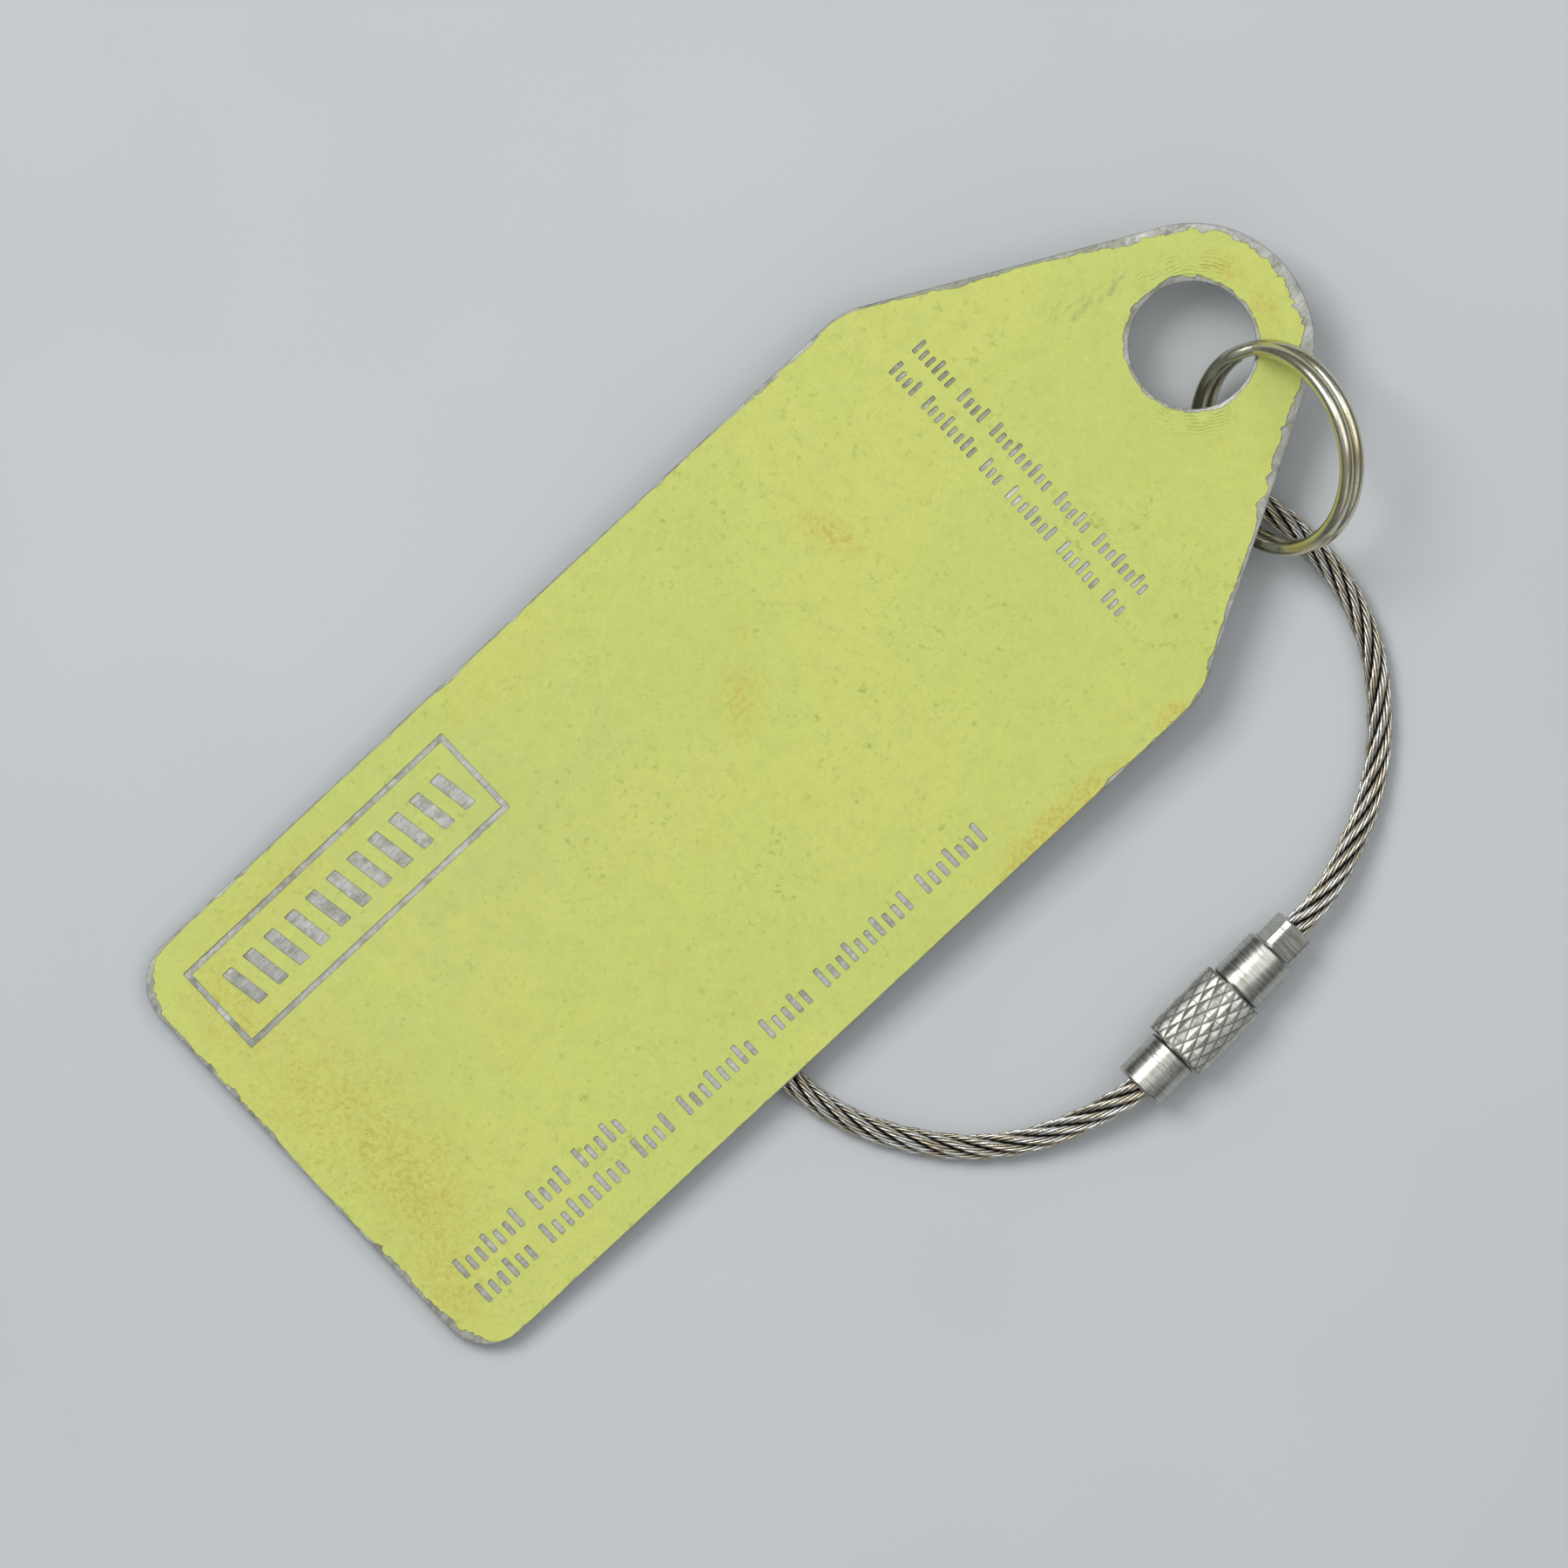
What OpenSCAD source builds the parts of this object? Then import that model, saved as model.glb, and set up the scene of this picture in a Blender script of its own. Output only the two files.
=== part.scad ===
// Wire-loop luggage tag: a primed aluminium plate, a split ring through its hole and a
// stranded steel cable loop that closes with a knurled screw clasp. It lies on a table at
// z = 0, painted face up, with its hole end towards +Y and the cable loop towards +X.

/* [Tag plate] */
// Length of the plate along Y
plate_l = 85.3; // [84:0.1:87]
// Width of the plate
plate_w = 33.7; // [33:0.1:35]
// Thickness of the aluminium sheet
sheet_t = 0.9; // [0.8:0.1:1.1]
// Thickness of the primer coat
coat_t = 0.1; // [0.05:0.01:0.1]
// How far the coat stops short of the sheet's edges
coat_inset = 0.25; // [0.1:0.05:0.4]
// Angle of the tapered sides to the plate's length
taper_angle = 28.2; // [26:0.1:30]
// Radius of the rounded tip
tip_r = 7.8; // [7:0.1:8.5]
// Radius of the shoulders, where the taper meets the straight sides
shoulder_r = 5; // [3:0.5:8]
// Radius of the two square-end corners
corner_r = 3.3; // [2:0.1:5]
// Diameter of the punched hole
hole_d = 8.1; // [8:0.1:9]

/* [Marks cut through the coat] */
// Width of the frame's line
frame_line = 0.36; // [0.2:0.02:0.6]
// Length of the frame along the plate
frame_l = 22.6; // [20:0.1:24]
// Width of the frame
frame_w = 6.4; // [6:0.1:7]
// Number of slanted stripes inside the frame
stripes = 11; // [6:1:12]
// Height of the small ticks near the hole
small_tick_h = 1.05; // [0.8:0.05:1.3]
// Height of the larger ticks along the right-hand side
large_tick_h = 1.4; // [1:0.1:1.6]

/* [Split ring] */
// Diameter of the ring wire
ring_wire = 0.92; // [0.8:0.02:1]
// Diameter of the coils along the wire's centre
ring_d = 12.98; // [12.8:0.02:13.1]
// Distance between the two coils
coil_pitch = 0.95; // [0.92:0.01:1.05]
// Angle between the ring and the table
ring_tilt = 48; // [46:0.5:50]

/* [Cable] */
// Diameter of the wire rope
cable_d = 1.7; // [1.5:0.1:1.8]

/* [Clasp] */
// Diameter over the knurl of the nut
nut_d = 4.6; // [4.4:0.1:5]
// Length of the nut
nut_l = 5.4; // [5.2:0.1:5.6]
// Number of grip grooves around the nut
nut_grooves = 18; // [12:1:24]
// Diameter of the stud ferrule's barrel
stud_barrel_d = 3.65; // [3.4:0.05:4]
// Diameter of the swivel ferrule's barrel
swivel_barrel_d = 3.5; // [3.3:0.05:4]
// Outer diameter of the M3 stud
stud_d = 2.92; // [2.84:0.02:2.98]

/* [Hidden] */
$fn = 64;
eps = 0.05;

// The plate leans on the ring and on the cable that pass beneath it
plate_tilt = 2.75;
plate_lift = 2.6;
hole_y = plate_l / 2 - tip_r;

// Marks: the frame's centre, the two tick rows near the hole and the two side rows
frame_at = [-11.35, -28.3];
stripe_pitch = (frame_l - 2.6) / stripes;
stripe_w = 0.45 * stripe_pitch;
stripe_h = 2.9;
stripe_lean = 0.9;
hole_row_x = -11.9;
hole_row_y = [22.1, 20.1];
side_row_x = [11.3, 13.4];
side_row_y = -39.6;
small_pitch = 0.6;
large_pitch = 0.8;
tick_share = 0.4;
hole_row_words = [[6, 4, 9, 5, 8], [4, 8, 3, 7, 6, 3]];
side_row_words = [[7, 4, 5], [6, 9, 4, 8, 5, 10, 7]];

// The ring: its high side faces ring_heading, and its wire crosses from the lower coil to
// the upper one at crossing_at, between the two cut ends
ring_x = 8.4;
ring_y = 34.2;
ring_heading = 65;
ring_z = ring_d / 2 * sin(ring_tilt) + coil_pitch / 2 * cos(ring_tilt) + ring_wire / 2;
crossing_at = 178;
crossing_span = 24;
ring_step = 6;
ring_sides = 12;

// The clasp's axis: it starts at the mouth of the swivel ferrule
clasp_at = [32.3, 0.1, nut_d / 2];
clasp_turn = 2.6;
swivel_l = 3.2;
nut_from = 3.3;
nut_to = nut_from + nut_l;
lip_l = 0.85;
cavity_l = 1.05;
cavity_d = 3.9;
flange_d = 3.7;
flange_l = 0.8;
flange_from = nut_from + lip_l + 0.1;
neck_d = 2.8;
lip_d = neck_d + 0.1;
thread_d = 3;
stud_l = 2.5;
barrel_from = nut_to + 0.05;
crimp_from = 12.15;
clasp_l = 14.35;
crimp_w = 2.4;
crimp_corner = 0.32;
crimp_roll = 23;
cable_in = 1.5;
stud_travel = 2.5;
stud_bore_d = cable_d + 0.3;
stud_bore_l = cable_in + stud_travel + 0.1;
swivel_bore_d = cable_d + 0.1;
edge_c = 0.18;
groove_r = 0.22;

// Route of the cable's centre line, from the stud ferrule round the ring to the swivel
// ferrule: along the table, over the ring's low side and back beneath the plate
stud_mouth = clasp_point(clasp_l);
swivel_mouth = clasp_point(0);
free_route = [
    [31.2, 18, 2.1], [30.3, 20.6, 1.6], [29.2, 23, 1.2], [27.2, 25.9, 0.95],
    [24.7, 28.3, 0.9], [22.1, 30.1, 0.9], [19.1, 31.3, 0.9], [16, 31.8, 0.9],
    [13.3, 31.8, 1], [10.8, 31.4, 1.5], [8.4, 30.8, 2.15], [6.2, 30.1, 2.5],
    [4, 29.2, 2.35], [1.6, 27.8, 1.8], [-1.5, 25.4, 1.2], [-5.5, 21.8, 0.95],
    [-9.6, 16.4, 0.9], [-11.8, 10.5, 0.9], [-12, 4.5, 0.9], [-10.2, -1.5, 0.9],
    [-6.6, -6.6, 0.9], [-1.4, -10.8, 0.9], [5, -13.8, 0.9], [11.2, -15.4, 0.9],
    [17, -15.8, 0.9], [21.3, -14.8, 0.9], [24.8, -12.9, 0.9], [27.8, -10.4, 1],
    [30, -7.4, 1.3], [31.3, -4.4, 1.7], [32, -1.8, 2.15]
];
cable_route = concat([clasp_point(clasp_l - cable_in), stud_mouth, clasp_point(clasp_l + 1.5)],
                     free_route, [swivel_mouth, clasp_point(cable_in)]);
cable_sides = 8;
cable_steps = 2;

// A point on the clasp's axis, s millimetres above the swivel ferrule's mouth
function clasp_point(s) = clasp_at + s * [-sin(clasp_turn), cos(clasp_turn), 0];

// Catmull-Rom curve through the points of a route
function unit(v) = v / norm(v);
function route_point(p, i) = i < 0 ? 2 * p[0] - p[1]
    : i >= len(p) ? 2 * p[len(p) - 1] - p[len(p) - 2] : p[i];
function blend4(a, b, c, d, t) = 0.5 * (2 * b + (c - a) * t + (2 * a - 5 * b + 4 * c - d) * t * t
    + (3 * b - a - 3 * c + d) * t * t * t);
function smooth_route(p, steps) = concat(
    [for (i = [0:len(p) - 2], k = [0:steps - 1])
        blend4(route_point(p, i - 1), p[i], p[i + 1], route_point(p, i + 2), k / steps)],
    [p[len(p) - 1]]);

// Direction of a line of points at point i
function heading(p, i) = unit(p[min(i + 1, len(p) - 1)] - p[max(i - 1, 0)]);

// Section of a round tube about point c, across direction dir, with its first side towards ref
function section(c, dir, ref, r, sides) =
    let (side = unit(cross(dir, ref)), lift = cross(side, dir))
    [for (k = [0:sides - 1]) c + r * (cos(360 * k / sides) * lift + sin(360 * k / sides) * side)];

// Faces of a closed tube with n sections
function tube_faces(n, sides) = concat(
    [[for (k = [0:sides - 1]) k]],
    [for (i = [0:n - 2], k = [0:sides - 1], half = [0, 1])
        let (a = i * sides + k, b = i * sides + (k + 1) % sides)
        half == 0 ? [a, a + sides, b] : [b, a + sides, b + sides]],
    [[for (k = [sides - 1:-1:0]) (n - 1) * sides + k]]);

// Centre line of the split ring in its own plane: almost two turns, joined by the crossing
function ease(x) = let (c = min(max(x, 0), 1)) c * c * (3 - 2 * c);
function coil_height(t) =
    coil_pitch * (ease((t - crossing_at - 360 + crossing_span / 2) / crossing_span) - 0.5);
function coil_point(t) = [ring_d / 2 * cos(t), ring_d / 2 * sin(t), coil_height(t)];
coil_angles = [for (t = [crossing_at + crossing_span / 2 : ring_step
                         : crossing_at + 720 - crossing_span / 2]) t];

// Outline of the plate, pulled in by inset on every side
module outline(inset) {
    half_w = plate_w / 2 - inset;
    low_y = -plate_l / 2 + inset;
    tip = tip_r - inset;
    shoulder = shoulder_r - inset;
    corner = corner_r - inset;
    across = [cos(taper_angle), sin(taper_angle)];
    shoulder_x = half_w - shoulder;
    shoulder_y = hole_y + (tip - shoulder - shoulder_x * across[0]) / across[1];
    right = [
        [half_w - corner, low_y],
        [half_w, low_y + corner],
        [half_w, shoulder_y],
        [shoulder_x, shoulder_y] + shoulder * across,
        [0, hole_y] + tip * across
    ];
    left = [for (i = [len(right) - 1:-1:0]) [-right[i][0], right[i][1]]];
    polygon(concat(right, left));
    translate([0, hole_y]) circle(r = tip);
    for (side = [-1, 1]) {
        translate([side * shoulder_x, shoulder_y]) circle(r = shoulder);
        translate([side * (half_w - corner), low_y + corner]) circle(r = corner);
    }
}

// Groups of upright ticks in a row along X, each group a blank apart from the next
function words_before(words, k) = k == 0 ? 0 : words[k - 1] + 1 + words_before(words, k - 1);
module tick_row(words, pitch, height) {
    for (k = [0:len(words) - 1], i = [0:words[k] - 1]) {
        long = i % 3 == 0;
        translate([(words_before(words, k) + i) * pitch, 0])
            square([tick_share * pitch, long ? height : 0.72 * height]);
    }
}

// A plain frame with slanted luggage-label stripes inside
module striped_frame() {
    difference() {
        square([frame_w, frame_l], center = true);
        square([frame_w - 2 * frame_line, frame_l - 2 * frame_line], center = true);
    }
    for (i = [0:stripes - 1])
        translate([-stripe_h / 2, (i - stripes / 2 + 0.25) * stripe_pitch])
            polygon([[0, 0], [stripe_h, stripe_lean - stripe_w / 2],
                     [stripe_h, stripe_lean + stripe_w / 2], [0, stripe_w]]);
}

module marks() {
    translate(frame_at) striped_frame();
    for (k = [0, 1]) {
        translate([hole_row_x, hole_row_y[k] - small_tick_h / 2])
            tick_row(hole_row_words[k], small_pitch, small_tick_h);
        translate([side_row_x[k] + large_tick_h / 2, side_row_y])
            rotate(90) tick_row(side_row_words[k], large_pitch, large_tick_h);
    }
}

module on_plate() {
    translate([0, 0, plate_lift]) rotate([plate_tilt, 0, 0]) children();
}

module on_clasp() {
    translate(clasp_at) rotate([0, 0, clasp_turn]) rotate([-90, 0, 0]) children();
}

// Round bar from z = from to z = to, with chamfers c1 and c2 at its two ends
module bar(d, from, to, c1 = 0, c2 = 0) {
    r = d / 2;
    rotate_extrude()
        polygon([[0, from], [r - c1, from], [r, from + c1], [r, to - c2], [r - c2, to], [0, to]]);
}

module tag_plate() {
    color("silver") on_plate() difference() {
        linear_extrude(sheet_t) outline(0);
        translate([0, hole_y, -eps]) cylinder(d = hole_d, h = sheet_t + 2 * eps);
    }
}

module primer_coat() {
    color([0.77, 0.81, 0.44]) on_plate() translate([0, 0, sheet_t]) difference() {
        linear_extrude(coat_t) difference() {
            outline(coat_inset);
            marks();
        }
        translate([0, hole_y, -eps]) cylinder(d = hole_d + 2 * coat_inset, h = coat_t + 2 * eps);
    }
}

module split_ring() {
    line = [for (t = coil_angles) coil_point(t)];
    sections = [for (i = [0:len(line) - 1])
        let (t = coil_angles[i])
        each section(line[i], heading(line, i), [cos(t), sin(t), 0], ring_wire / 2, ring_sides)];
    color([0.72, 0.7, 0.66])
        translate([ring_x, ring_y, ring_z])
        rotate([0, 0, ring_heading - 90])
        rotate([ring_tilt, 0, 0])
        polyhedron(sections, tube_faces(len(line), ring_sides), convexity = 4);
}

module cable() {
    line = smooth_route(cable_route, cable_steps);
    sections = [for (i = [0:len(line) - 1])
        each section(line[i], heading(line, i), [0, 0, 1], cable_d / 2, cable_sides)];
    color([0.6, 0.6, 0.58]) polyhedron(sections, tube_faces(len(line), cable_sides), convexity = 4);
}

// Pressed shank with eight flats, plain barrel and the stud that the nut screws onto
module stud_ferrule() {
    half = crimp_w / 2;
    cut = half - crimp_corner;
    color([0.78, 0.77, 0.74]) on_clasp() difference() {
        union() {
            bar(stud_d, nut_to - stud_l, barrel_from + eps, 0.2);
            bar(stud_barrel_d, barrel_from, crimp_from, edge_c, edge_c);
            translate([0, 0, crimp_from - eps]) rotate(crimp_roll)
                linear_extrude(clasp_l - crimp_from + eps)
                polygon([for (k = [0:3]) each [
                    [half * cos(90 * k) + cut * sin(90 * k), half * sin(90 * k) - cut * cos(90 * k)],
                    [half * cos(90 * k) - cut * sin(90 * k), half * sin(90 * k) + cut * cos(90 * k)]]]);
        }
        translate([0, 0, clasp_l - stud_bore_l]) cylinder(d = stud_bore_d, h = stud_bore_l + eps);
    }
}

// Plain barrel, then a neck and a flange that the nut holds captive
module swivel_ferrule() {
    color([0.78, 0.77, 0.74]) on_clasp() difference() {
        union() {
            bar(swivel_barrel_d, 0, swivel_l, edge_c, edge_c);
            bar(neck_d, swivel_l - eps, flange_from + eps);
            bar(flange_d, flange_from, flange_from + flange_l, 0.1, 0.1);
        }
        translate([0, 0, -eps]) cylinder(d = swivel_bore_d, h = cable_in + eps);
    }
}

// Screw sleeve: the lip turns on the neck, and the bore at the far end holds the stud
module knurled_nut() {
    color([0.75, 0.74, 0.7]) on_clasp() difference() {
        bar(nut_d, nut_from, nut_to, edge_c, edge_c);
        translate([0, 0, nut_from - eps]) cylinder(d = lip_d, h = lip_l + 2 * eps);
        translate([0, 0, nut_from + lip_l]) cylinder(d = cavity_d, h = cavity_l);
        translate([0, 0, nut_from + lip_l + cavity_l - eps]) cylinder(d = thread_d, h = nut_l);
        for (k = [0:nut_grooves - 1]) rotate(360 * k / nut_grooves)
            translate([nut_d / 2 + groove_r / 2, 0, nut_from - eps])
            rotate(180) linear_extrude(nut_l + 2 * eps)
            polygon([[0, -groove_r], [groove_r, 0], [0, groove_r]]);
    }
}

tag_plate();
primer_coat();
split_ring();
cable();
stud_ferrule();
swivel_ferrule();
knurled_nut();
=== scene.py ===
import math
import random
from collections import Counter

import bmesh
import bpy
import numpy as np
from mathutils import Matrix, Vector, noise
from mathutils.geometry import delaunay_2d_cdt


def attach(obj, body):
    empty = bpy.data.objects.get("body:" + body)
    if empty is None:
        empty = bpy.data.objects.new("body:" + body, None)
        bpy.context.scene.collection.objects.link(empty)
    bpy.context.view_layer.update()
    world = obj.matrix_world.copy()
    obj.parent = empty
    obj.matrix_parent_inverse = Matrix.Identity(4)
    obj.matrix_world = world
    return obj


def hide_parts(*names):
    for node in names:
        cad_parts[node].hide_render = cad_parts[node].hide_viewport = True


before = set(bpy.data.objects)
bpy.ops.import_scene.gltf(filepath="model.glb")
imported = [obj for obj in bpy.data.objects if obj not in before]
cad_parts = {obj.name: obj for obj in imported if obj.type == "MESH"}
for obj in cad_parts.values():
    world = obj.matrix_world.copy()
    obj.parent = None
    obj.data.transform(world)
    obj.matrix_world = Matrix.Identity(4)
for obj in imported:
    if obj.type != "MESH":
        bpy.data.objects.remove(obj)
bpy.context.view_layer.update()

# Sizes below are in millimetres, and a mesh is turned into metres when it is made.
MM = 0.001
TURN = 2 * math.pi

# Plate, as in the CAD model
PLATE_L = 85.3
PLATE_W = 33.7
SHEET_T = 0.9
COAT_TOP = 1.0
TAPER = math.radians(28.2)
TIP_R = 7.8
SHOULDER_R = 5.0
CORNER_R = 3.3
HOLE_R = 4.05
HOLE_Y = PLATE_L / 2 - TIP_R
PLATE_TILT = math.radians(2.75)
PLATE_LIFT = 2.6

# Marks cut through the coat: a frame with stripes, and rows of ticks.
# A tick is (pitch, height), and a row is (where it starts, number of ticks in each group).
FRAME_AT = (-11.35, -28.3)
FRAME_W = 6.4
FRAME_L = 22.6
FRAME_LINE = 0.36
FRAME_MARGIN = 1.3
STRIPES = 11
STRIPE_PITCH = (FRAME_L - 2 * FRAME_MARGIN) / STRIPES
STRIPE_W = 0.45 * STRIPE_PITCH
STRIPE_H = 2.9
STRIPE_LEAN = 0.9
SMALL_TICK = (0.6, 1.05)
LARGE_TICK = (0.8, 1.4)
TICK_SHARE = 0.4
HOLE_ROWS = [((-11.9, 22.1), [6, 4, 9, 5, 8]), ((-11.9, 20.1), [4, 8, 3, 7, 6, 3])]
SIDE_ROWS = [((11.3, -39.6), [7, 4, 5]), ((13.4, -39.6), [6, 9, 4, 8, 5, 10, 7])]

# Split ring. The wire crosses from one coil to the other at an angle, over a span, in degrees.
WIRE_R = 0.46
RING_R = 6.49
COIL_PITCH = 0.95
RING_TILT = math.radians(48)
RING_HEADING = math.radians(65)
RING_AT = Vector((8.4, 34.2, RING_R * math.sin(RING_TILT)
                  + COIL_PITCH / 2 * math.cos(RING_TILT) + WIRE_R))
CROSSING_AT = 178
CROSSING_SPAN = 24

# Clasp: distances along its axis from the mouth of the swivel end
CLASP_AT = Vector((32.3, 0.1, 2.3))
CLASP_TURN = math.radians(2.6)
CLASP_DIR = Vector((-math.sin(CLASP_TURN), math.cos(CLASP_TURN), 0))
CLASP_L = 14.35
CABLE_IN = 1.5
STUD_TRAVEL = 2.5
STUD_BORE_L = CABLE_IN + STUD_TRAVEL + 0.1
ROUND_SIDES = 96
NUT_FROM = 3.3
NUT_TO = 8.7
NUT_R = 2.3
NUT_CHAMFER = 0.14
KNURL_DEPTH = 0.13
KNURL_COLUMNS = 18
DIAMOND_L = 1.6
DIAMOND_GRID = 8

# Wire rope: six strands of six outer wires, wound on a core. The wire's diameter is also the
# distance of its centre from the strand's, and a lay is the length of one turn.
ROPE_D = 1.7
STRANDS = 6
WIRES = 6
STRAND_AT = ROPE_D / 3
WIRE_D = ROPE_D / 9
CORE_R = 0.3
STRAND_LAY = 12.5
WIRE_LAY = 3.5
ROPE_STEP = 0.36
FREE_ROUTE = [
    (31.2, 18, 2.1), (30.3, 20.6, 1.6), (29.2, 23, 1.2), (27.2, 25.9, 0.95),
    (24.7, 28.3, 0.9), (22.1, 30.1, 0.9), (19.1, 31.3, 0.9), (16, 31.8, 0.9),
    (13.3, 31.8, 1), (10.8, 31.4, 1.5), (8.4, 30.8, 2.15), (6.2, 30.1, 2.5),
    (4, 29.2, 2.35), (1.6, 27.8, 1.8), (-1.5, 25.4, 1.2), (-5.5, 21.8, 0.95),
    (-9.6, 16.4, 0.9), (-11.8, 10.5, 0.9), (-12, 4.5, 0.9), (-10.2, -1.5, 0.9),
    (-6.6, -6.6, 0.9), (-1.4, -10.8, 0.9), (5, -13.8, 0.9), (11.2, -15.4, 0.9),
    (17, -15.8, 0.9), (21.3, -14.8, 0.9), (24.8, -12.9, 0.9), (27.8, -10.4, 1),
    (30, -7.4, 1.3), (31.3, -4.4, 1.7), (32, -1.8, 2.15),
]


# ---------------------------------------------------------------- camera and light

def add_camera():
    """Straight above the tag, turned so that the plate runs from lower left to upper right."""
    over, height, turn = (0.00271, -0.00324), 0.003, math.radians(47.02)
    view_width, lens, sensor = 0.1, 250, 36
    data = bpy.data.cameras.new("camera")
    data.lens = lens
    data.sensor_width = sensor
    data.clip_start = 0.01
    camera = bpy.data.objects.new("camera", data)
    camera.location = (*over, height + view_width * lens / sensor)
    camera.rotation_euler = (0, 0, turn)
    bpy.context.collection.objects.link(camera)
    bpy.context.scene.camera = camera


def add_light(name, place, size, watts):
    """A square soft light that faces the tag."""
    data = bpy.data.lights.new(name, "AREA")
    data.size = size
    data.energy = watts
    lamp = bpy.data.objects.new(name, data)
    lamp.location = place
    lamp.rotation_euler = Vector(place).to_track_quat("Z", "Y").to_euler()
    bpy.context.collection.objects.link(lamp)


def add_studio():
    """Three soft lights and a pale sky, shown in plain colours."""
    add_light("key_light", (-0.33, -0.03, 0.55), 0.3, 2.1)
    add_light("top_light", (0.1, 0.3, 0.75), 0.7, 1.75)
    add_light("fill_light", (0.5, -0.2, 0.35), 0.4, 0.2)
    add_sky()
    bpy.context.scene.view_settings.view_transform = "Standard"


def add_sky():
    """A plain studio dome, bright overhead and dark towards the horizon."""
    horizon, overhead = 0.07, 0.42
    world = bpy.data.worlds.new("studio")
    world.use_nodes = True
    tree = world.node_tree
    place = tree.nodes.new("ShaderNodeTexCoord")
    parts = tree.nodes.new("ShaderNodeSeparateXYZ")
    height = tree.nodes.new("ShaderNodeMapRange")
    height.inputs["From Min"].default_value = 0.0
    height.inputs["From Max"].default_value = 0.9
    height.inputs["To Min"].default_value = horizon
    height.inputs["To Max"].default_value = overhead
    background = tree.nodes["Background"]
    background.inputs["Color"].default_value = (0.86, 0.88, 0.9, 1)
    tree.links.new(place.outputs["Generated"], parts.inputs[0])
    tree.links.new(parts.outputs["Z"], height.inputs["Value"])
    tree.links.new(height.outputs[0], background.inputs["Strength"])
    bpy.context.scene.world = world


# ---------------------------------------------------------------- mesh helpers

def to_metres(points):
    return [tuple(MM * c for c in p) for p in points]


def make_piece(name, points, faces, materials, face_material=None, smooth=True):
    """A mesh object from points in millimetres."""
    mesh = bpy.data.meshes.new(name)
    mesh.from_pydata(to_metres(points), [], faces)
    for material in materials:
        mesh.materials.append(material)
    if face_material:
        mesh.polygons.foreach_set("material_index", face_material)
    mesh.polygons.foreach_set("use_smooth", [smooth] * len(faces))
    mesh.validate()
    mesh.update()
    piece = bpy.data.objects.new(name, mesh)
    bpy.context.collection.objects.link(piece)
    return piece


def sharpen(piece, degrees):
    """Edges with a steeper fold than this stay crisp under smooth shading."""
    piece.data.set_sharp_from_angle(angle=math.radians(degrees))


def install(piece, body, node):
    """The piece takes the place of its CAD node and moves with the node's body."""
    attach(piece, body)
    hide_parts(node)


def band_faces(count, rows, start=0):
    """Quads between rows of count points each, facing outwards when the rows go up their axis."""
    faces = []
    for row in range(rows - 1):
        a, b = start + row * count, start + (row + 1) * count
        for k in range(count):
            n = (k + 1) % count
            faces.append((a + k, a + n, b + n, b + k))
    return faces


def cap_faces(count, rows, start=0):
    """The two flat ends of a tube of rows."""
    last = start + (rows - 1) * count
    first_end = tuple(start + k for k in reversed(range(count)))
    last_end = tuple(last + k for k in range(count))
    return [first_end, last_end]


def spline(points, per_span):
    """Catmull-Rom curve through the points, with mirrored points past both ends."""
    p = [Vector(q) for q in points]
    p = [2 * p[0] - p[1]] + p + [2 * p[-1] - p[-2]]
    curve = []
    for i in range(1, len(p) - 2):
        a, b, c, d = p[i - 1:i + 3]
        for k in range(per_span):
            t = k / per_span
            curve.append(0.5 * (2 * b + (c - a) * t + (2 * a - 5 * b + 4 * c - d) * t * t
                                + (3 * b - a - 3 * c + d) * t ** 3))
    return curve + [p[-2]]


def evenly(curve, step):
    """Points along the curve at an even spacing near step, and the spacing."""
    lengths = [0.0]
    for a, b in zip(curve, curve[1:]):
        lengths.append(lengths[-1] + (b - a).length)
    count = round(lengths[-1] / step)
    spacing = lengths[-1] / count
    points, i = [], 0
    for k in range(count + 1):
        s = k * spacing
        while i < len(curve) - 2 and lengths[i + 1] < s:
            i += 1
        share = (s - lengths[i]) / (lengths[i + 1] - lengths[i])
        points.append(curve[i].lerp(curve[i + 1], min(share, 1)))
    return points, spacing


def carried_frames(points):
    """Side and up directions along a line, carried from point to point without twist."""
    last = len(points) - 1
    headings = [(points[min(i + 1, last)] - points[max(i - 1, 0)]).normalized()
                for i in range(last + 1)]
    side = headings[0].cross(Vector((0, 0, 1))).normalized()
    frames = []
    for i, ahead in enumerate(headings):
        if i:
            side = headings[i - 1].rotation_difference(ahead) @ side
            side = (side - side.dot(ahead) * ahead).normalized()
        frames.append((side, ahead.cross(side)))
    return frames


def rough(x, y, size, seed=0.0):
    """Smooth noise from -1 to 1 at a place, with features of about this size."""
    return noise.noise(Vector((x / size, y / size, 7.3 * seed)))


# ---------------------------------------------------------------- shader helpers

def srgb(r, g, b):
    """A colour as seen on a screen, 0 to 255, as the linear value that shaders use."""
    def linear(c):
        c /= 255
        return c / 12.92 if c <= 0.04045 else ((c + 0.055) / 1.055) ** 2.4
    return linear(r), linear(g), linear(b), 1


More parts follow.
